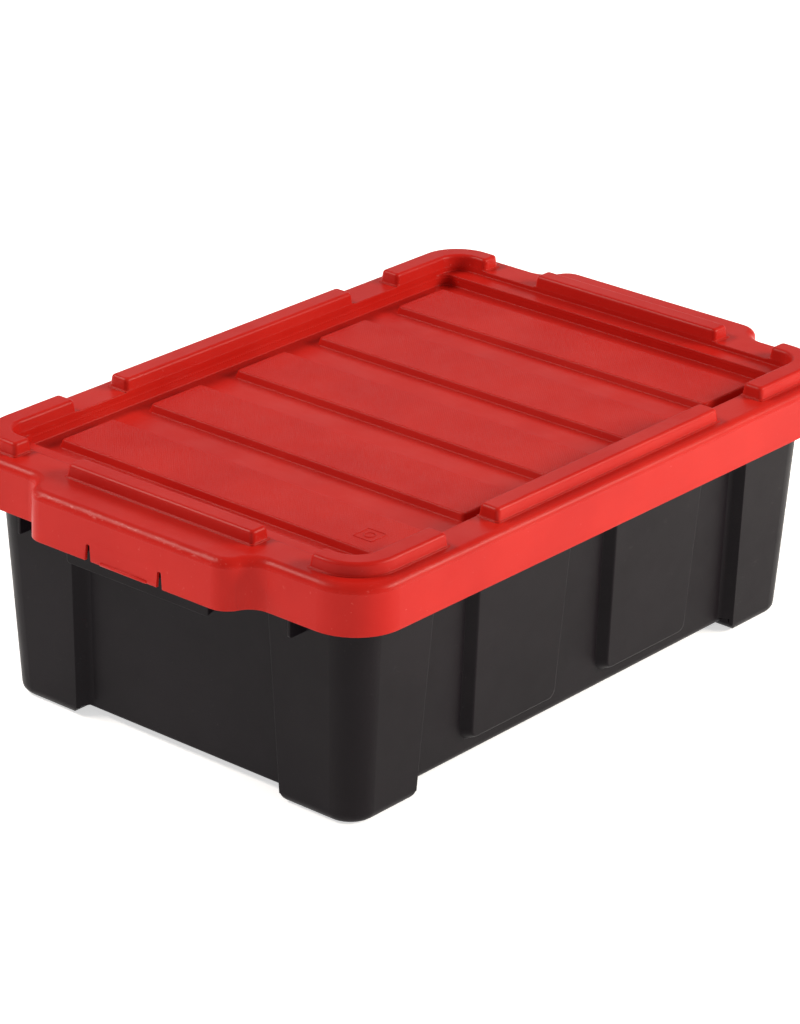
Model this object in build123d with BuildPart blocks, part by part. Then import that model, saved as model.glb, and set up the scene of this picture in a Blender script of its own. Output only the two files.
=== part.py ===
"""Low storage tote: a tapered bin and a loose lid with a carry handle at each short end.

Millimetres.  +X runs along the long side, +Y across, +Z up.  The origin is on the floor, under the
middle of the tote.  The bin and the lid are symmetric about the XZ and YZ planes.
"""

import os
from math import atan, cos, degrees, hypot, sin

from build123d import *

# ---------------------------------------------------------------- bin: outside form
wall = 2.5  # wall thickness of the bin
foot_x = 305.3  # half length over the corner posts, at the floor
foot_y = 201.5  # half width over the corner posts, at the floor
draft = 0.057  # outward lean of the bin's walls, mm per mm of height
post_radius = 26.0  # upright corners of the tote, at the floor
post_radius_top = 32.0  # the same corners at the rim
base_radius = 9.5  # rounding under the outer faces of the posts
floor_gap = 7.5  # the floor between the feet stands this far up
foot_roll = 12.0  # rounding of the feet towards the gaps between them

end_depth = 12.0  # depth of the recessed panel on each short end
end_half = 119.5  # half width of that panel at its mouth, at floor level
end_splay = 8.0  # how far the sides of that recess slope in over its depth
end_roll = 2.5  # rounding under that panel's lower edge
side_depth = 12.0  # the same four for the recessed panel on each long side
side_half = 224.6
side_splay = 6.0
side_roll = 7.5
recess_top = 205.0  # the recesses end here, out of sight under the lid
recess_corner = 5.0  # inside corners of a recess

pad_height = 9.5  # raised pads on the long sides, above the recessed panel
pad_inner = 38.6  # nearest and farthest x of the pad's face, at the floor
pad_outer = 148.9
pad_flare = 0.037  # growth of the pad's half width with height
pad_bottom = 29.5  # bottom edge of the pad's face
pad_top = 200.0
pad_corner = 8.0
pad_edge = 2.0
pad_splay = 0.6  # how far the pad's sides slope out per mm of its height

# ---------------------------------------------------------------- lid and rim outline
rim_x = 342.7  # half length of the skirt at its lower edge, without the handles
rim_y = 238.7  # half width of the skirt at its lower edge
rim_corner = 48.0
handle_x = 368.8  # the handles reach this far from the middle
handle_half = 98.0  # half width of the handle's straight part
handle_blend = 40.0  # length of the S-curve beside it
handle_radius = 21.0  # radius of both arcs of the S-curve

skirt_bottom = 193.3  # lower edge of the lid's skirt
rim_top = 238.5  # level top of the lid's rim and handles
skirt_draft = 0.012  # inward lean of the skirt, mm per mm of height
skirt_wall = 2.8
lid_top_wall = 3.0
rim_fillet = 8.0  # outside edge of the lid's rim

# ---------------------------------------------------------------- bin: rim and handles
rim_clearance = 0.3  # between the bin's flange and the lid above it
lip_clearance = 0.7  # between the bin's lip and the lid's skirt
lip_bottom = 200.5
flange_edge = 1.2  # rounding of the flange's top edge
flange_top = rim_top - lid_top_wall - rim_clearance

grip_x = 353.0  # outer face of the grip plate under each handle
grip_half = 81.4
grip_bottom = 175.0
grip_corner = 3.0  # lower corners of the grip plate
grip_rib_rise = 11.0  # the ribs at the grip's ends rise this much towards the wall
fin_y = 155.5  # gusset fins beside the grips
fin_x = 336.2
fin_bottom = 173.6
fin_wall = 2.8
fin_corner = 2.5

# ---------------------------------------------------------------- lid: tray, panels and bars
tray_x = 306.0  # half length of the lid's recess
tray_y = 202.3
tray_corner = 21.0
ledge_x = 287.0  # the tray's end ledges start here
ledge_depth = 4.4
tray_depth = 14.5
tray_wall = 2.5

panel_pitch = 112.9
panel_count = 5
panel_half_x = 35.0
panel_half_y = 183.5
panel_rise = 7.0
panel_corner = 6.0
panel_lean = 20.0  # degrees that the panel's sides lean in
panel_edge = 2.0

bar_top = 250.3
bar_lean = 7.0  # degrees that the bars' sides lean in
bar_end_x = 327.4  # outer faces of the bars on the short ends, at the rim
bar_end_y = 225.0  # outer faces of the bars on the long sides, at the rim
bar_corner = 42.0
bar_edge = 3.4  # top edges of the bars
bar_end_edge = 4.2  # upright edges of the bars' ends
bar_side_half = 154.0  # half length of the middle bar on each long side
bar_end_half = 107.2  # half length of the bar on each short end
bar_leg_x = 216.9  # where the corner bars end on the long sides
bar_leg_y = 167.9  # where the corner bars end on the short ends
bar_wall = 2.5
plinth_out = 1.3  # low step around the foot of each bar
plinth_height = 0.8
plinth_corner = 3.5

# ---------------------------------------------------------------- snap tabs in the handle skirts
slot_y = 41.0
slot_top = 208.5
slot_top_half = 1.9
slot_low_half = 3.4
slot_corner = 1.4  # rounding of the slot's top corners
tab_gap = 0.3  # flex line between the tab and the skirt above it
tab_lip_half = 27.0
tab_lip_out = 1.2
tab_lip_height = 3.2
tab_lip_edge = 1.0

inner_reach = skirt_draft * (flange_top - skirt_bottom)  # how far the skirt leans in at the flange


def all_quadrants(corners):
    """Repeat one quadrant's (x, y) corners, from the long side to the short end, all the way round."""
    ring = []
    for side_x, side_y in ((1, 1), (1, -1), (-1, -1), (-1, 1)):
        quadrant = corners if side_x == side_y else corners[::-1]
        ring += [(side_x * x, side_y * y) for x, y in quadrant]
    return ring


def rim_plan(z, inset=0.0, hollow=0.0):
    """Outline of the skirt with both handles, moved in by inset; hollow leaves a ring that wide."""
    reach = handle_radius * (handle_x - rim_x) / handle_blend
    middle = handle_half + handle_blend / 2
    spread = handle_blend / 2 - reach
    quadrant = [
        (rim_x, rim_y, rim_corner),
        (rim_x, middle + spread, handle_radius),
        (handle_x, middle - spread, handle_radius),
    ]
    points = all_quadrants([(x, y) for x, y, _ in quadrant])
    radii = [r for _ in range(2) for r in [q[2] for q in quadrant] + [q[2] for q in quadrant[::-1]]]
    with BuildSketch(Plane.XY.offset(z)) as plan:
        with BuildLine():
            FilletPolyline(*points, radius=radii, close=True)
        make_face()
        if inset:
            offset(amount=-inset)
        if hollow:
            offset(amount=-hollow, mode=Mode.SUBTRACT)
    return plan.sketch


def skirt_form(z_low, z_high, inset):
    """Solid inside the leaning skirt between two heights, moved in by inset."""
    low = rim_plan(z_low, inset + skirt_draft * (z_low - skirt_bottom))
    high = rim_plan(z_high, inset + skirt_draft * (z_high - skirt_bottom))
    loft([low, high], ruled=True)


def upright(edge):
    """True for the leaning and vertical edges of a form, as against its level ones."""
    return abs(edge.tangent_at(0.5).Z) > 0.8


def recess_cutter(recess, turn, inset):
    """Space of one recessed panel; recess holds its half width, depth, splay and face distance."""
    half, depth, splay, face = recess
    reach = 45.0
    run = splay / depth
    with BuildPart(mode=Mode.PRIVATE) as cutter:
        with BuildSketch(Plane.XY.offset(-10)) as plan:
            with BuildLine():
                Polyline(
                    (face + reach, -half - reach * run),
                    (face + reach, half + reach * run),
                    (face - depth, half - splay),
                    (face - depth, splay - half),
                    close=True,
                )
            make_face()
            offset(amount=inset + 10 * draft, kind=Kind.INTERSECTION)
        extrude(plan.sketch, amount=recess_top + 10 + inset, taper=degrees(atan(draft)))
        back = cutter.faces().sort_by(Axis.X)[0]
        fillet(back.edges().filter_by(upright), recess_corner)
    return cutter.part.rotate(Axis.Z, turn)


def roll_cutter(length, wall_at_floor, roll, turn, inset):
    """What the rounding takes off under the lower edge of a recessed panel."""
    radius = roll - inset
    angle = atan(draft)
    height = floor_gap + roll
    centre = wall_at_floor + draft * height - roll / cos(angle)
    start = (centre + radius * cos(angle), height - radius * sin(angle))
    bottom = floor_gap + inset
    with BuildSketch(Plane.XZ.offset(-length - inset)) as section:
        with BuildLine():
            Polyline(start, (start[0] + 9, start[1]), (start[0] + 9, -3), (centre, -3), (centre, bottom))
            RadiusArc((centre, bottom), start, -radius)
        make_face()
    with BuildPart(mode=Mode.PRIVATE) as cutter:
        extrude(section.sketch, amount=2 * (length + inset))
    return cutter.part.rotate(Axis.Z, turn)


def side_pad(centre_sign, inset):
    """Raised pad on the recessed panel of the -Y side; centre_sign picks its end."""
    slope = atan(pad_splay)
    shrink = inset * (1 - sin(slope)) / cos(slope)
    wall_y = foot_y - side_depth - inset
    root = Plane(origin=(0, -wall_y, 0), x_dir=(1, 0, 0), z_dir=(0, -1, -draft))
    sections = []
    for height in (0, pad_height):
        grow = pad_splay * (pad_height - height) - shrink
        low = pad_bottom - grow
        high = pad_top + grow
        near = pad_inner - grow
        far = pad_outer + grow
        corners = [
            (near - pad_flare * low, low),
            (far + pad_flare * low, low),
            (far + pad_flare * high, high),
            (near - pad_flare * high, high),
        ]
        with BuildSketch(root.offset(height)) as section:
            with BuildLine():
                FilletPolyline(
                    *[(centre_sign * x, y) for x, y in corners],
                    radius=pad_corner + grow,
                    close=True,
                )
            make_face()
        sections.append(section.sketch)
    with BuildPart(mode=Mode.PRIVATE) as pad:
        loft(sections, ruled=True)
        front = pad.faces().sort_by(Axis(root.origin, root.z_dir))[-1]
        fillet(front.edges(), pad_edge)
        extrude(sections[0], amount=-1.0)
    return pad.part


def foot_channel(half_width, turn, inset):
    """Space between the feet, right across the underside: level top, rolled edges at the floor."""
    length = 800.0
    top = floor_gap + inset
    centre = half_width + foot_roll
    radius = foot_roll - inset
    drop = (radius**2 - (foot_roll - top) ** 2) ** 0.5
    with BuildSketch(Plane.YZ.offset(-length / 2)) as section:
        with BuildLine():
            Polyline((-centre, inset), (-centre, -5), (centre, -5), (centre, inset))
            RadiusArc((centre, inset), (centre - drop, top), radius)
            Line((centre - drop, top), (drop - centre, top))
            RadiusArc((drop - centre, top), (-centre, inset), radius)
        make_face()
    with BuildPart(mode=Mode.PRIVATE) as channel:
        extrude(section.sketch, amount=length)
    return channel.part.rotate(Axis.Z, turn)


def bin_form(inset, top):
    """The bin's solid form, or with an inset the form of the space inside it."""
    sections = []
    for z, radius in ((inset, post_radius), (top, post_radius_top)):
        side = 2 * (draft * z - inset)
        with BuildSketch(Plane.XY.offset(z)) as section:
            RectangleRounded(2 * foot_x + side, 2 * foot_y + side, radius - inset)
        sections.append(section.sketch)
    loft(sections, ruled=True)
    fillet(edges().group_by(Axis.Z)[0], base_radius - inset)
    end = (end_half, end_depth, end_splay, foot_x)
    side = (side_half, side_depth, side_splay, foot_y)
    for turn in (0, 180):
        add(recess_cutter(end, turn, inset), mode=Mode.SUBTRACT)
        add(recess_cutter(side, turn + 90, inset), mode=Mode.SUBTRACT)
    for sign in (-1, 1):
        pad = side_pad(sign, inset)
        add(pad)
        add(pad.mirror(Plane.XZ))
    add(foot_channel(end_half, 0, inset), mode=Mode.SUBTRACT)
    add(foot_channel(side_half, 90, inset), mode=Mode.SUBTRACT)
    for turn in (0, 180):
        if end_roll > inset:
            add(roll_cutter(end_half, foot_x - end_depth, end_roll, turn, inset), mode=Mode.SUBTRACT)
        add(roll_cutter(side_half, foot_y - side_depth, side_roll, turn + 90, inset), mode=Mode.SUBTRACT)


def wall_x(z):
    """Outer face of the recessed panel on a short end, at height z."""
    return foot_x - end_depth + draft * z


# ---------------------------------------------------------------- bin
with BuildPart() as cavity:
    bin_form(wall, flange_top + 5)

with BuildPart() as grip:
    plate_height = flange_top - grip_bottom
    with Locations((-grip_x + wall / 2, 0, grip_bottom + plate_height / 2)):
        Box(wall, 2 * grip_half, plate_height)
    corners = grip.edges().filter_by(Axis.X).group_by(Axis.Z)[0]
    fillet(corners, grip_corner)
    for y in (-grip_half, grip_half - wall):
        with BuildSketch(Plane.XZ.offset(-y - wall)) as rib:
            with BuildLine():
                Polyline(
                    (-grip_x + 1, grip_bottom + 2),
                    (-wall_x(grip_bottom) + 1, grip_bottom + grip_rib_rise),
                    (-wall_x(flange_top) + 1, flange_top - 1),
                    (-grip_x + 1, flange_top - 1),
                    close=True,
                )
            make_face()
        extrude(rib.sketch, amount=wall)
    for y in (-fin_y, fin_y):
        with BuildSketch(Plane.XZ.offset(-y - fin_wall / 2)) as fin:
            with BuildLine():
                Polyline(
                    (-fin_x, fin_bottom),
                    (-wall_x(fin_bottom) - end_depth + 1, fin_bottom),
                    (-wall_x(flange_top) - end_depth + 1, flange_top - 1),
                    (-fin_x, flange_top - 1),
                    close=True,
                )
            make_face()
            fillet(fin.vertices().group_by(Axis.Z)[0].sort_by(Axis.X)[0], fin_corner)
        extrude(fin.sketch, amount=fin_wall)

lip_inset = skirt_wall + inner_reach + lip_clearance
with BuildPart() as tub:
    bin_form(0, flange_top)
    extrude(rim_plan(flange_top - wall, lip_inset), amount=wall)
    extrude(rim_plan(lip_bottom, lip_inset, wall), amount=flange_top - lip_bottom)
    fillet(tub.edges().group_by(Axis.Z)[-1], flange_edge)
    add(grip.part)
    add(grip.part.rotate(Axis.Z, 180))
    add(cavity.part, mode=Mode.SUBTRACT)

tub.part.label = "bin"


# ---------------------------------------------------------------- lid
def bar_outline(inset):
    """Plan of the raised bars: a ring above the tray's edge, cut into eight pieces."""
    with BuildSketch(Plane.XY) as ring:
        RectangleRounded(2 * (bar_end_x - inset), 2 * (bar_end_y - inset), bar_corner - inset)
        RectangleRounded(
            2 * (tray_x + inset), 2 * (tray_y + inset), tray_corner + inset, mode=Mode.SUBTRACT
        )
        gap_x = bar_leg_x - bar_side_half
        gap_y = bar_leg_y - bar_end_half
        for sign in (-1, 1):
            with Locations((sign * (bar_leg_x + bar_side_half) / 2, 0)):
                Rectangle(gap_x + 2 * inset, 2 * rim_y, mode=Mode.SUBTRACT)
            with Locations((0, sign * (bar_leg_y + bar_end_half) / 2)):
                Rectangle(2 * handle_x, gap_y + 2 * inset, mode=Mode.SUBTRACT)
    return ring.sketch


with BuildPart() as bars:
    ring = bar_outline(0).moved(Location((0, 0, rim_top)))
    extrude(ring, amount=bar_top - rim_top, taper=bar_lean)
    fillet(bars.edges().filter_by(upright).filter_by(GeomType.LINE), bar_end_edge)
    fillet(bars.edges().group_by(Axis.Z)[-1], bar_edge)

with BuildPart() as plinths:
    ring = bar_outline(-plinth_out).moved(Location((0, 0, rim_top - 0.5)))
    extrude(ring, amount=plinth_height + 0.5)
    fillet(plinths.edges().filter_by(Axis.Z), plinth_corner)

with BuildPart() as bar_hollows:
    hollow = bar_outline(bar_wall).moved(Location((0, 0, rim_top - lid_top_wall - 1)))
    extrude(hollow, amount=bar_top - bar_wall - rim_top + lid_top_wall + 1, taper=bar_lean)

with BuildPart() as panels:
    with BuildSketch(Plane.XY.offset(rim_top - tray_depth - 0.5)) as plan:
        with GridLocations(panel_pitch, 1, panel_count, 1):
            RectangleRounded(2 * panel_half_x, 2 * panel_half_y, panel_corner)
    extrude(plan.sketch, amount=panel_rise + 0.5, taper=panel_lean)
    fillet(panels.edges().group_by(Axis.Z)[-1], panel_edge)

with BuildPart() as tray:
    ledge_z = rim_top - ledge_depth
    floor_z = rim_top - tray_depth
    with BuildSketch(Plane.XY.offset(ledge_z)) as upper:
        RectangleRounded(2 * tray_x, 2 * tray_y, tray_corner)
    extrude(upper.sketch, amount=ledge_depth + 20)
    with BuildSketch(Plane.XY.offset(floor_z)) as lower:
        RectangleRounded(2 * (ledge_x - 1), 2 * (tray_y - 0.6), tray_corner - 8)
    extrude(lower.sketch, amount=tray_depth - ledge_depth, taper=-4)
    add(panels.part, mode=Mode.SUBTRACT)

with BuildPart() as under:
    skirt_form(skirt_bottom - 5, rim_top - lid_top_wall, skirt_wall)
    with BuildSketch(Plane.XY.offset(ledge_z - tray_wall)) as upper:
        RectangleRounded(2 * (tray_x + tray_wall), 2 * (tray_y + tray_wall), tray_corner + tray_wall)
    extrude(upper.sketch, amount=20, mode=Mode.SUBTRACT)
    with BuildSketch(Plane.XY.offset(floor_z - tray_wall)) as lower:
        RectangleRounded(2 * (ledge_x + tray_wall), 2 * (tray_y + tray_wall), tray_corner - 8 + tray_wall)
    extrude(lower.sketch, amount=20, mode=Mode.SUBTRACT)
    with BuildSketch(Plane.XY.offset(floor_z - tray_wall)) as plan:
        with GridLocations(panel_pitch, 1, panel_count, 1):
            RectangleRounded(2 * (panel_half_x - tray_wall), 2 * (panel_half_y - tray_wall), panel_corner - 2)
    extrude(plan.sketch, amount=panel_rise, taper=panel_lean)


def slot_outline(y):
    """One open slot in the handle skirt, narrow and round at the top, wide at the skirt's edge."""
    with BuildSketch(Plane.YZ) as slot:
        with BuildLine():
            Polyline(
                (y - slot_low_half, skirt_bottom - 2),
                (y - slot_low_half, skirt_bottom),
                (y - slot_top_half, slot_top),
                (y + slot_top_half, slot_top),
                (y + slot_low_half, skirt_bottom),
                (y + slot_low_half, skirt_bottom - 2),
                close=True,
            )
        make_face()
        fillet(slot.vertices().group_by(Axis.Y)[-1], slot_corner)
    return slot.sketch


tab_hinge_z = slot_top - 1.5
with BuildPart() as tab_band:
    with Locations((-handle_x, 0, (skirt_bottom - 2 + tab_hinge_z) / 2)):
        Box(40, 2 * slot_y, tab_hinge_z - skirt_bottom + 2)

with BuildPart() as slots:
    for y in (-slot_y, slot_y):
        extrude(slot_outline(y).moved(Location((-handle_x - 20, 0, 0))), amount=40)

with BuildPart() as lid_whole:
    skirt_form(skirt_bottom, rim_top, 0)
    fillet(lid_whole.edges().group_by(Axis.Z)[-1], rim_fillet)
    add(under.part, mode=Mode.SUBTRACT)
    add(bars.part)
    add(plinths.part)
    add(tray.part, mode=Mode.SUBTRACT)
    add(bar_hollows.part, mode=Mode.SUBTRACT)

with BuildPart() as tab:
    add(lid_whole.part)
    add(tab_band.part, mode=Mode.INTERSECT)
    add(slots.part, mode=Mode.SUBTRACT)
    low_face = skirt_bottom + tab_lip_height / 2
    with Locations((-handle_x + skirt_draft * tab_lip_height / 2, 0, low_face)):
        Box(2 * tab_lip_out, 2 * tab_lip_half, tab_lip_height)
    lip = tab.faces().sort_by(Axis.X)[0]
    fillet(lip.edges(), tab_lip_edge)

with BuildPart() as window:
    with Locations((-handle_x, 0, (skirt_bottom - 2 + tab_hinge_z + tab_gap) / 2)):
        Box(40, 2 * slot_y, tab_hinge_z + tab_gap - skirt_bottom + 2)

with BuildPart() as lid:
    add(lid_whole.part)
    for turn in (0, 180):
        add(window.part.rotate(Axis.Z, turn), mode=Mode.SUBTRACT)
        add(slots.part.rotate(Axis.Z, turn), mode=Mode.SUBTRACT)
lid.part.label = "lid"

pieces = {
    "bin": tub.part,
    "lid": lid.part,
    "snap_tab_left": tab.part,
    "snap_tab_right": tab.part.rotate(Axis.Z, 180),
}
os.makedirs("parts", exist_ok=True)
for name, piece in pieces.items():
    piece.label = name
    export_step(piece, f"parts/{name}.step")
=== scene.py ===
"""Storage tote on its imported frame: plastics, small moulded details, studio floor, lights and camera.

Lengths are in metres.
"""

import math

import bmesh
import bpy
from mathutils import Matrix, Vector


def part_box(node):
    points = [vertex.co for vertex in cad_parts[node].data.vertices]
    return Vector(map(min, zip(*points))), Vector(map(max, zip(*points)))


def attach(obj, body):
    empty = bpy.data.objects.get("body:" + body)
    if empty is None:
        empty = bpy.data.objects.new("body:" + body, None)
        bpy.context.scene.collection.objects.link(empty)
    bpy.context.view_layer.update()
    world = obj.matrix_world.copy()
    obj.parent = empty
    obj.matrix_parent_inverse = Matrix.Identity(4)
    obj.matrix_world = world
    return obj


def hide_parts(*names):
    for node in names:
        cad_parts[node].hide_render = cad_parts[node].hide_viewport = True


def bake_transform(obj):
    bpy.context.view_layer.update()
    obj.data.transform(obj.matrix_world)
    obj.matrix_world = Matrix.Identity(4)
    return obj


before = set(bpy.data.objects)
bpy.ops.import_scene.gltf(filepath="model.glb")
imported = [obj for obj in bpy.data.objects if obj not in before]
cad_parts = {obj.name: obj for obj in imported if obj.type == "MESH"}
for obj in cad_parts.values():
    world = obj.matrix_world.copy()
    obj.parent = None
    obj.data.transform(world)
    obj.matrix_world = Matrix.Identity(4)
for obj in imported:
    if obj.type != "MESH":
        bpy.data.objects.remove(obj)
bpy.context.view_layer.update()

PANEL_TOP = 0.2310  # height of the lid's five panels
HANDLE_EDGE_X = 0.3585, 0.3640  # the rub marks and painted highlight on the handles' top edges fade in over this distance, start over this height and end over this one
HANDLE_EDGE_FOOT = 0.2325, 0.2350  # start over this height
HANDLE_EDGE_HEAD = 0.2372, 0.2384  # and end over this one
EDGE_SCUFF_AND_HIGHLIGHT_STRENGTH = 0.32

# ---------------------------------------------------------------- node helpers


def new_material(name):
    """A material with an empty node tree but for its shader; returns it, its tree and the shader."""
    mat = bpy.data.materials.new(name)
    mat.use_nodes = True
    tree = mat.node_tree
    shader = tree.nodes["Principled BSDF"]
    return mat, tree, shader


def add_node(tree, kind, links=None, values=None, **settings):
    """Adds a node, sets its properties and socket values, and links what feeds it."""
    node = tree.nodes.new(kind)
    for key, value in settings.items():
        setattr(node, key, value)
    for key, value in (values or {}).items():
        node.inputs[key].default_value = value
    for key, source in (links or {}).items():
        tree.links.new(source, node.inputs[key])
    return node


def maths(tree, operation, first, second=None):
    """A Math node's output; each input is a socket or a number."""
    node = tree.nodes.new("ShaderNodeMath")
    node.operation = operation
    for index, item in enumerate((first, second)):
        if item is None:
            continue
        if isinstance(item, (int, float)):
            node.inputs[index].default_value = item
        else:
            tree.links.new(item, node.inputs[index])
    return node.outputs[0]


def ramp(tree, value, low, high, to_low=0.0, to_high=1.0):
    """A smooth step from to_low to to_high as value goes from low to high."""
    node = add_node(tree, "ShaderNodeMapRange", interpolation_type="SMOOTHSTEP")
    node.inputs["From Min"].default_value = low
    node.inputs["From Max"].default_value = high
    node.inputs["To Min"].default_value = to_low
    node.inputs["To Max"].default_value = to_high
    tree.links.new(value, node.inputs["Value"])
    return node.outputs["Result"]


def noise(tree, where, scale, detail=3.0, roughness=0.5, stretch=None):
    """A noise texture's value at a position, stretched along the axes if asked."""
    if stretch:
        scaled = add_node(tree, "ShaderNodeVectorMath", operation="MULTIPLY", links={0: where})
        scaled.inputs[1].default_value = stretch
        where = scaled.outputs[0]
    node = add_node(tree, "ShaderNodeTexNoise", links={"Vector": where})
    node.inputs["Scale"].default_value = scale
    node.inputs["Detail"].default_value = detail
    node.inputs["Roughness"].default_value = roughness
    return node.outputs["Fac"]


def mix_colour(tree, factor, first, second):
    """A colour mix; factor is a socket, and each colour is a socket or a tuple."""
    node = add_node(tree, "ShaderNodeMix", data_type="RGBA")
    tree.links.new(factor, node.inputs["Factor"])
    colour_a, colour_b = node.inputs[6], node.inputs[7]
    for socket, item in ((colour_a, first), (colour_b, second)):
        if isinstance(item, tuple):
            socket.default_value = item
        else:
            tree.links.new(item, socket)
    return node.outputs[2]


def edge_scuffs_and_highlight(tree, where):
    """Pale rub marks along the top outer edges of the two handles, where the tote is picked up,
    together with a painted highlight along the same edges.
    """
    split = add_node(tree, "ShaderNodeSeparateXYZ", links={0: where})
    # a band along the handles' top edges: rub marks and a painted highlight
    out = ramp(tree, maths(tree, "ABSOLUTE", split.outputs["X"]), *HANDLE_EDGE_X)
    high = ramp(tree, split.outputs["Z"], *HANDLE_EDGE_FOOT)
    top = ramp(tree, split.outputs["Z"], *HANDLE_EDGE_HEAD, 1.0, 0.0)
    zone = maths(tree, "MULTIPLY", maths(tree, "MULTIPLY", out, high), top)
    marks = ramp(tree, noise(tree, where, 300.0, 5.0, 0.65, (1.0, 0.35, 1.0)), 0.52, 0.72)
    return maths(tree, "MULTIPLY", maths(tree, "MULTIPLY", zone, marks), EDGE_SCUFF_AND_HIGHLIGHT_STRENGTH)


def satin(
    name, colour, variation, rough, specular, grain, edge_radius, wear_and_highlight_colour, wear_amount, panels=None
):
    """Moulded polypropylene: uneven colour, fine grain, scuffs, and edges softened by the mould; where
    a panel texture is given, also rub marks and a painted highlight on the handles' top edges.
    """
    mat, tree, shader = new_material(name)
    where = add_node(tree, "ShaderNodeTexCoord").outputs["Object"]
    cloud = noise(tree, where, 9.0, 4.0, 0.55)
    base = mix_colour(tree, ramp(tree, cloud, 0.3, 0.7), colour, variation)

    # fine scuffs: short streaks that show only where a broad patch lets them
    streak = noise(tree, where, 55.0, 6.0, 0.62, (1.0, 4.5, 3.0))
    patch = noise(tree, where, 5.0, 2.0, 0.5)
    scuff = maths(tree, "MULTIPLY", ramp(tree, streak, 0.64, 0.76), ramp(tree, patch, 0.45, 0.7))
    scuff = maths(tree, "MULTIPLY", scuff, wear_amount)
    speck = noise(tree, where, 420.0, 2.0, 0.5)
    speck = maths(tree, "MULTIPLY", ramp(tree, speck, 0.735, 0.77), wear_amount * 0.8)
    wear_and_edge_highlight = maths(tree, "MAXIMUM", scuff, speck)
    if panels:
        # the handles' top edges get rub marks and a painted highlight in the wear colour
        wear_and_edge_highlight = maths(tree, "MAXIMUM", wear_and_edge_highlight, edge_scuffs_and_highlight(tree, where))
    base = mix_colour(tree, wear_and_edge_highlight, base, wear_and_highlight_colour)
    tree.links.new(base, shader.inputs["Base Color"])

    gloss = noise(tree, where, 30.0, 5.0, 0.6)
    roughness = ramp(tree, gloss, 0.25, 0.75, rough - 0.04, rough + 0.05)
    tree.links.new(roughness, shader.inputs["Roughness"])
    shader.inputs["Specular IOR Level"].default_value = specular

    fine = noise(tree, where, 900.0, 2.0, 0.6)
    broad = noise(tree, where, 16.0, 2.0, 0.5)
    grit, waves = maths(tree, "MULTIPLY", fine, 0.35), maths(tree, "MULTIPLY", broad, 1.6)
    height = maths(tree, "ADD", grit, waves)
    if panels:
        height = maths(tree, "ADD", height, panels(tree, where))
    rounded = add_node(tree, "ShaderNodeBevel", samples=6, values={"Radius": edge_radius})
    bump = add_node(tree, "ShaderNodeBump", values={"Strength": grain, "Distance": 0.0004})
    tree.links.new(height, bump.inputs["Height"])
    tree.links.new(rounded.outputs[0], bump.inputs["Normal"])
    tree.links.new(bump.outputs[0], shader.inputs["Normal"])
    return mat


def panel_texture(tree, where):
    """A fine diagonal pebble texture, only on the level tops of the lid's panels."""
    split = add_node(tree, "ShaderNodeSeparateXYZ", links={0: where})
    level = maths(tree, "ABSOLUTE", maths(tree, "SUBTRACT", split.outputs["Z"], PANEL_TOP))
    mask = ramp(tree, level, 0.0004, 0.0010, 1.0, 0.0)
    turned = add_node(
        tree, "ShaderNodeVectorRotate", rotation_type="Z_AXIS", links={"Vector": where}
    )
    turned.inputs["Angle"].default_value = math.radians(45)
    cells = add_node(
        tree, "ShaderNodeTexVoronoi", links={"Vector": turned.outputs[0]}, feature="F1"
    )
    cells.inputs["Scale"].default_value = 520.0
    cells.inputs["Randomness"].default_value = 0.35
    dots = ramp(tree, cells.outputs["Distance"], 0.15, 0.6)
    return maths(tree, "MULTIPLY", maths(tree, "MULTIPLY", dots, mask), 0.9)


# colour, variation, roughness, specular level and grain, then the colour and amount of the wear; the
# wear colour also paints the highlight on the handles' top edges
RED = (0.44, 0.0100, 0.0065, 1), (0.49, 0.0150, 0.0095, 1), 0.34, 0.12, 0.35
RED_WEAR_AND_HIGHLIGHT = (0.80, 0.30, 0.27, 1), 0.25
red = satin("red_polypropylene", *RED, 0.0017, *RED_WEAR_AND_HIGHLIGHT, panel_texture)
red_tab = satin("red_tab_polypropylene", *RED, 0.0001, *RED_WEAR_AND_HIGHLIGHT)
charcoal = satin(
    "charcoal_polypropylene",
    (0.0066, 0.0048, 0.0064, 1),
    (0.0086, 0.0064, 0.0084, 1),
    0.38,
    0.09,
    0.45,
    0.0015,
    (0.16, 0.15, 0.155, 1),
    0.12,
)

for node_name, material in (
    ("bin", charcoal),
    ("lid", red),
    ("snap_tab_left", red),
    ("snap_tab_right", red),
):
    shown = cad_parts[node_name]
    shown.data.materials.clear()
    shown.data.materials.append(material)

# ---------------------------------------------------------------- snap tabs
lid_low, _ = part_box("lid")
tab_low, tab_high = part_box("snap_tab_left")
SKIRT_LEAN = 0.012  # how far the skirt leans in for each metre of height
SKIRT_WALL = 0.0028
SLOT_CENTRE = 0.041  # from the tab's middle to the middle of the slot beside it
SLOT_NARROW = 0.0019  # half widths of the slot, at its top and at the skirt's edge
SLOT_WIDE = 0.0034
SLOT_TOP = 0.2085
SLOT_CLEARANCE = 0.00004
PROUD = 0.00006  # how far the tab's skin stands in front of the skirt's face
FEATHER_TOP = 0.2125  # where that skin ends in the skirt
LIP_HALF = 0.027
LIP_HALF_HEIGHT = 0.00155
LIP_ROOT = 0.0003  # how far the lip starts behind the skirt's face


def tab_half_width(z):
    """The tab's half width, along the edges of the slots beside it."""
    along = min(1.0, max(0.0, (z - tab_low.z) / (SLOT_TOP - tab_low.z)))
    return SLOT_CENTRE - SLOT_WIDE + along * (SLOT_WIDE - SLOT_NARROW) - SLOT_CLEARANCE


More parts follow.
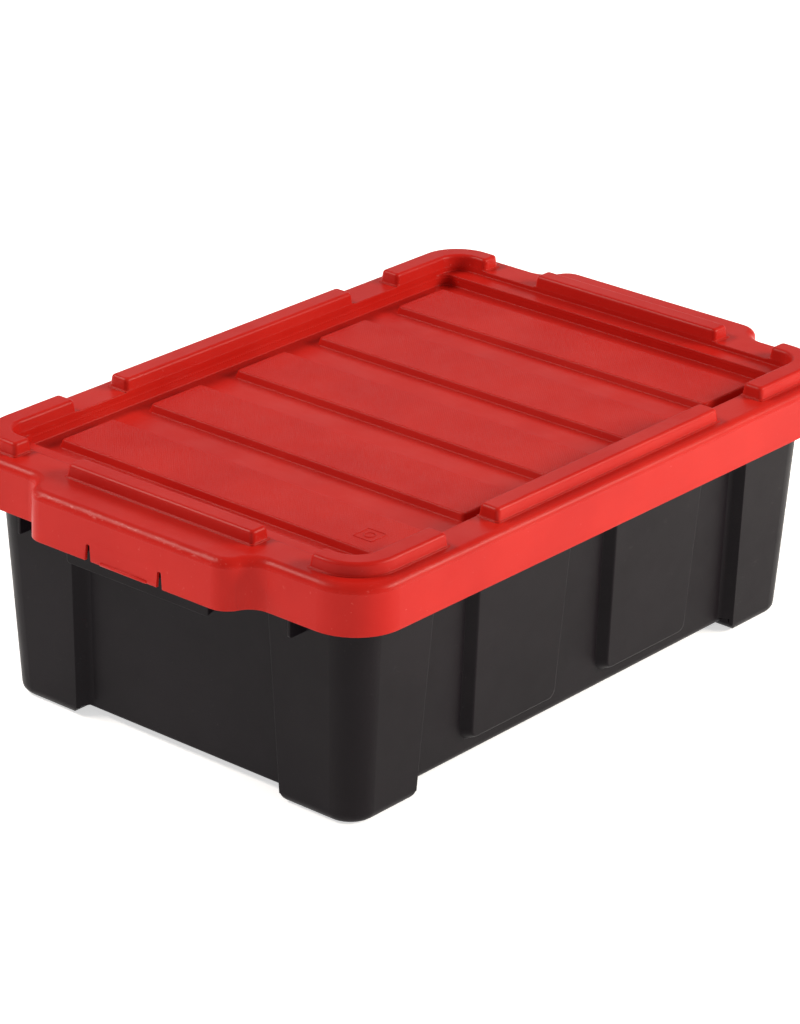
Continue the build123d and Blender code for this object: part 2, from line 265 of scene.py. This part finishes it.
def snap_tab(sign, body, node_name):
    """The tab with its rounded lower edge, its thumb lip, and a skin that runs up into the skirt."""
    mesh = bmesh.new()
    hinge = tab_high.z
    foot = tab_low.z
    # height, how far the front stands out, and how much thicker the back is
    rows = [
        (foot + 0.0001, -0.0006, 0.0006),
        (foot + 0.0004, -0.0002, 0.0002),
        (foot + 0.0009, 0.0, 0.0),
        (foot + 0.0045, 0.0, 0.0),
        (foot + 0.0090, 0.0, 0.0),
        (hinge - 0.0004, 0.0, 0.0),
        (hinge + 0.0012, 0.0, -SKIRT_WALL + 0.0002),
        (FEATHER_TOP - 0.0010, 0.0, -SKIRT_WALL + 0.0001),
        (FEATHER_TOP, -PROUD - 0.00002, -SKIRT_WALL + 0.00004),
    ]
    columns = [-1.0, -0.985, -0.6, -0.2, 0.2, 0.6, 0.985, 1.0]
    fronts, backs = [], []
    for z, out, thin in rows:
        face = -lid_low.x - SKIRT_LEAN * (z - foot)
        half = tab_half_width(z)
        front = face + PROUD + out
        rear = face - SKIRT_WALL - thin
        fronts.append([mesh.verts.new((sign * front, c * half, z)) for c in columns])
        backs.append([mesh.verts.new((sign * rear, c * half, z)) for c in columns])
    for grid in (fronts, backs):
        for lower, upper in zip(grid, grid[1:]):
            for i in range(len(columns) - 1):
                mesh.faces.new((lower[i], lower[i + 1], upper[i + 1], upper[i]))
    for i in range(len(columns) - 1):
        mesh.faces.new((fronts[0][i], fronts[0][i + 1], backs[0][i + 1], backs[0][i]))
        mesh.faces.new((fronts[-1][i], fronts[-1][i + 1], backs[-1][i + 1], backs[-1][i]))
    for i in (0, -1):
        for k in range(len(rows) - 1):
            mesh.faces.new((fronts[k][i], fronts[k + 1][i], backs[k + 1][i], backs[k][i]))

    # thumb lip: a low bar with a round outer edge and round ends
    reach = -tab_low.x + lid_low.x
    arc = [math.radians(a) for a in range(-90, 91, 20)]
    rounded_end = (1.0, 0.35), (0.99, 0.75), (0.965, 1.0)
    stations = [(-along, scale) for along, scale in rounded_end]
    stations += [(0.0, 1.0), *reversed(rounded_end)]
    rings = []
    for along, scale in stations:
        ring = []
        for a in arc:
            x = -lid_low.x - LIP_ROOT + (reach + LIP_ROOT) * scale * math.cos(a) ** 0.6
            z = foot + 0.0016 + LIP_HALF_HEIGHT * scale * math.sin(a)
            ring.append(mesh.verts.new((sign * x, along * LIP_HALF, z)))
        rings.append(ring)
    for first, second in zip(rings, rings[1:]):
        for i in range(len(arc)):
            j = (i + 1) % len(arc)
            mesh.faces.new((first[i], first[j], second[j], second[i]))
    mesh.faces.new(rings[0])
    mesh.faces.new(rings[-1][::-1])
    bmesh.ops.recalc_face_normals(mesh, faces=mesh.faces)
    for face in mesh.faces:
        face.smooth = True
    data = bpy.data.meshes.new(body + "_shape")
    mesh.to_mesh(data)
    mesh.free()
    piece = bpy.data.objects.new(body + "_shape", data)
    bpy.context.scene.collection.objects.link(piece)
    data.materials.append(red_tab)
    crease = piece.modifiers.new("crease", "EDGE_SPLIT")
    crease.split_angle = math.radians(50)
    x = -sign * lid_low.x
    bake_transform(piece)
    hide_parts(node_name)


def outline(half, corner, height, steps=5):
    """Points of a square with rounded corners, round its own centre."""
    points = []
    for quarter in range(4):
        middle = math.radians(45 + 90 * quarter)
        cx = (half - corner) * (1 if math.cos(middle) > 0 else -1)
        cy = (half - corner) * (1 if math.sin(middle) > 0 else -1)
        for k in range(steps + 1):
            a = math.radians(90 * quarter) + math.radians(90) * k / steps
            points.append((cx + corner * math.cos(a), cy + corner * math.sin(a), height))
    return points


def moulded_mark(centre):
    """A plain raised square frame with a ring in it, centred on a point of the panel's top."""
    mesh = bmesh.new()
    raised, sunk = 0.00045, -0.0002
    for half, corner, width in ((0.0105, 0.0015, 0.0009), (0.0052, 0.00519, 0.0008)):
        loops = []
        profile = (0.0, sunk), (0.0002, raised), (width - 0.0002, raised), (width, sunk)
        for inset, rise in profile:
            points = outline(half - inset, max(corner - inset, 0.0003), centre[2] + rise)
            loops.append(
                [mesh.verts.new((centre[0] + x, centre[1] + y, z)) for x, y, z in points]
            )
        for first, second in zip(loops, loops[1:] + loops[:1]):
            for i in range(len(first)):
                j = (i + 1) % len(first)
                mesh.faces.new((first[i], first[j], second[j], second[i]))
    bmesh.ops.recalc_face_normals(mesh, faces=mesh.faces)
    data = bpy.data.meshes.new("moulded_mark")
    mesh.to_mesh(data)
    mesh.free()
    piece = bpy.data.objects.new("moulded_mark", data)
    bpy.context.scene.collection.objects.link(piece)
    data.materials.append(red_tab)
    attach(piece, "lid")


moulded_mark((-0.232, -0.152, PANEL_TOP))
snap_tab(-1, "snap_tab_left", "snap_tab_left")
snap_tab(1, "snap_tab_right", "snap_tab_right")

# ---------------------------------------------------------------- studio


def curved_floor():
    """A pale floor, large enough to fill every view, lifted a little at its far rim."""
    mesh = bmesh.new()
    steps = 48
    turns = [2 * math.pi * i / steps for i in range(steps)]
    loops = []
    for radius, height in ((2.0, 0.0), (6.0, 0.0), (14.0, 0.0), (22.0, 1.2)):
        loops.append(
            [mesh.verts.new((radius * math.cos(a), radius * math.sin(a), height)) for a in turns]
        )
    mesh.faces.new(loops[0])
    for inner, outer in zip(loops, loops[1:]):
        for i in range(steps):
            j = (i + 1) % steps
            mesh.faces.new((inner[i], outer[i], outer[j], inner[j]))
    data = bpy.data.meshes.new("studio_floor")
    mesh.to_mesh(data)
    mesh.free()
    floor = bpy.data.objects.new("studio_floor", data)
    bpy.context.scene.collection.objects.link(floor)
    mat, tree, shader = new_material("studio_paper")
    where = add_node(tree, "ShaderNodeTexCoord").outputs["Object"]
    pale, paler = (0.90, 0.90, 0.90, 1), (0.93, 0.93, 0.93, 1)
    tone = mix_colour(tree, noise(tree, where, 1.5, 2.0), pale, paler)
    tree.links.new(tone, shader.inputs["Base Color"])
    shader.inputs["Roughness"].default_value = 0.9
    shader.inputs["Emission Color"].default_value = (1, 1, 1, 1)
    shader.inputs["Emission Strength"].default_value = 0.6
    shader.inputs["Specular IOR Level"].default_value = 0.1
    data.materials.append(mat)


curved_floor()


def area_light(name, place, target, size, power, colour=(1, 1, 1)):
    """A soft rectangular lamp that points at a target."""
    data = bpy.data.lights.new(name, "AREA")
    data.shape = "RECTANGLE"
    data.size, data.size_y = size
    data.energy = power
    data.color = colour
    lamp = bpy.data.objects.new(name, data)
    bpy.context.scene.collection.objects.link(lamp)
    lamp.location = place
    aim = Vector(target) - Vector(place)
    lamp.rotation_mode = "QUATERNION"
    lamp.rotation_quaternion = aim.to_track_quat("-Z", "Y")


area_light("key_right", (1.6, -2.5, 1.5), (0, 0, 0.15), (1.6, 1.0), 116, (1.0, 0.92, 0.80))
area_light("back_strip", (-1.5, 2.1, 2.6), (0, 0, 0.2), (1.8, 0.7), 92, (1.0, 0.92, 0.84))
area_light("back_right", (2.6, 2.2, 1.9), (0, 0, 0.2), (1.4, 1.0), 3)

bpy.context.scene.view_settings.view_transform = "Standard"
world = bpy.data.worlds.new("studio_world")
world.use_nodes = True
sky = world.node_tree.nodes["Background"]
sky.inputs["Color"].default_value = (1.0, 0.985, 0.965, 1)
sky.inputs["Strength"].default_value = 0.31
bpy.context.scene.world = world

camera_data = bpy.data.cameras.new("camera")
camera_data.sensor_width = 36
camera_data.lens = 147.65
camera_data.clip_start = 0.1
camera_data.clip_end = 100
camera = bpy.data.objects.new("camera", camera_data)
bpy.context.scene.collection.objects.link(camera)
right = Vector((0.6496, -0.7601, 0.0181))
up = Vector((0.2910, 0.2707, 0.9176))
back = Vector((-0.7025, -0.5907, 0.3970))
turn = Matrix((right, up, back)).transposed()
camera.matrix_world = Matrix.Translation((-2.6541, -2.2213, 1.6306)) @ turn.to_4x4()
bpy.context.scene.camera = camera
